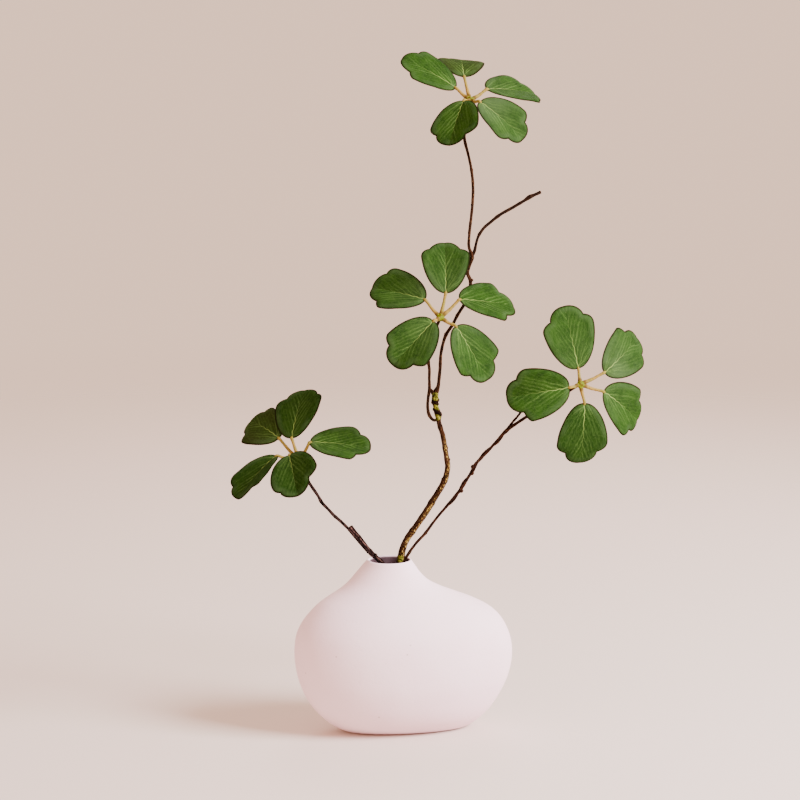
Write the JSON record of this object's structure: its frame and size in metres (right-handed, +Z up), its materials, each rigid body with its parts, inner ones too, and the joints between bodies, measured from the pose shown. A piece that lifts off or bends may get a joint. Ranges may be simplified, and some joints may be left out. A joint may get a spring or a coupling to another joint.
{
  "type": "ikebana arrangement",
  "caption": "Ikebana arrangement of thin cut branches with whorled, lobed green leaflets, standing in a low asymmetric bisque bottle vase.",
  "frame": {"origin": "on the surface the vase rests on, below the middle of its foot", "axes": "+Z up, the long sides of the flattened vase face -Y (front) and +Y (back), the leaning leader rises towards +X"},
  "size_m": [0.336, 0.1071, 0.5362],
  "materials": {
    "bisque": "matt unglazed bisque, faintly pink, with slight mottling and fine speckles",
    "bark": "dry bark, dark red-brown with tan specks; mossy yellow-green on the trunk's fork",
    "stalk": "smooth ochre-tan green stalks, darker at both ends",
    "leaf": "dark green leathery leaf with a soft sheen and pale yellow-green veins"
  },
  "bodies": {
    "root": {"vase": "bisque", "middle_branch": "bark", "right_branch": "bark", "left_branch": "bark", "top_whorl_stalks": "stalk", "top_leaflet_upper_left": "leaf", "top_leaflet_back": "leaf", "top_leaflet_right": "leaf", "top_leaflet_lower_right": "leaf", "top_leaflet_lower_left": "leaf", "middle_whorl_stalks": "stalk", "middle_leaflet_upper": "leaf", "middle_leaflet_upper_left": "leaf", "middle_leaflet_lower_left": "leaf", "middle_leaflet_lower_right": "leaf", "middle_leaflet_upper_right": "leaf", "right_whorl_stalks": "stalk", "right_leaflet_upper": "leaf", "right_leaflet_upper_right": "leaf", "right_leaflet_lower_right": "leaf", "right_leaflet_lower": "leaf", "right_leaflet_left": "leaf", "left_whorl_stalks": "stalk", "left_leaflet_upper_left": "leaf", "left_leaflet_upper": "leaf", "left_leaflet_right": "leaf", "left_leaflet_lower": "leaf", "left_leaflet_lower_left": "leaf"}
  },
  "joints": []
}
